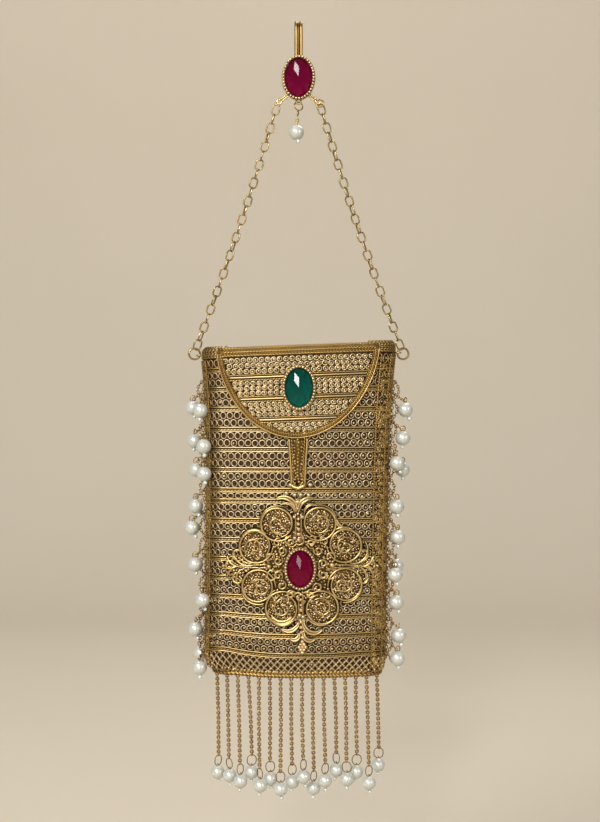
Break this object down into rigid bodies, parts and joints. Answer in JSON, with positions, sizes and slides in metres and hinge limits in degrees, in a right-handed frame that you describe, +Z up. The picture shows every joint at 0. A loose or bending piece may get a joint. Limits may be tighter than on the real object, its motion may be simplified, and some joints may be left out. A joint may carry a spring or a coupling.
{
  "type": "wire filigree potli bag",
  "caption": "Oblong waist pouch of gold wire lace with a fold-over flap, jewelled plaque, side pearls and a chain fringe, hung by chains from a waistband hook.",
  "frame": {"origin": "inside of the hook's bend, on the waistband that carries the pouch", "axes": "+Z up along the hanging pouch, +Y towards the wearer, front with the flap and plaque towards -Y, +X to the viewer's right"},
  "size_m": [0.1364, 0.0512, 0.4634],
  "materials": {
    "gold": "antique gold plate, bright on the high wires and dark in the hollows",
    "ruby": "cut and polished",
    "emerald": "cut and polished",
    "pearl": "pearl lustre"
  },
  "bodies": {
    "root": {"waist_hook": "gold", "hook_drop": "gold", "chain_left": "gold", "chain_right": "gold", "bag_body": "gold", "mouth_rim": "gold", "ring_left": "gold", "ring_right": "gold", "flap": "gold", "flap_rim": "gold", "flap_tongue": "gold", "flap_bezel": "gold", "medallion": "gold", "side_chain_left": "gold", "side_chain_right": "gold", "chain_fringe": "gold", "hook_ruby": "ruby", "medallion_ruby": "ruby", "flap_emerald": "emerald", "hook_pearl": "pearl", "pearl_left_01": "pearl", "pearl_left_02": "pearl", "pearl_left_03": "pearl", "pearl_left_04": "pearl", "pearl_left_05": "pearl", "pearl_left_06": "pearl", "pearl_left_07": "pearl", "pearl_left_08": "pearl", "pearl_left_09": "pearl", "pearl_left_10": "pearl", "pearl_left_11": "pearl", "pearl_left_12": "pearl", "pearl_left_13": "pearl", "pearl_right_01": "pearl", "pearl_right_02": "pearl", "pearl_right_03": "pearl", "pearl_right_04": "pearl", "pearl_right_05": "pearl", "pearl_right_06": "pearl", "pearl_right_07": "pearl", "pearl_right_08": "pearl", "pearl_right_09": "pearl", "pearl_right_10": "pearl", "pearl_right_11": "pearl", "pearl_fringe_01": "pearl", "pearl_fringe_02": "pearl", "pearl_fringe_03": "pearl", "pearl_fringe_04": "pearl", "pearl_fringe_05": "pearl", "pearl_fringe_06": "pearl", "pearl_fringe_07": "pearl", "pearl_fringe_08": "pearl", "pearl_fringe_09": "pearl", "pearl_fringe_10": "pearl", "pearl_fringe_11": "pearl", "pearl_fringe_12": "pearl", "pearl_fringe_13": "pearl", "pearl_fringe_14": "pearl", "pearl_fringe_15": "pearl", "pearl_fringe_16": "pearl"}
  },
  "joints": []
}
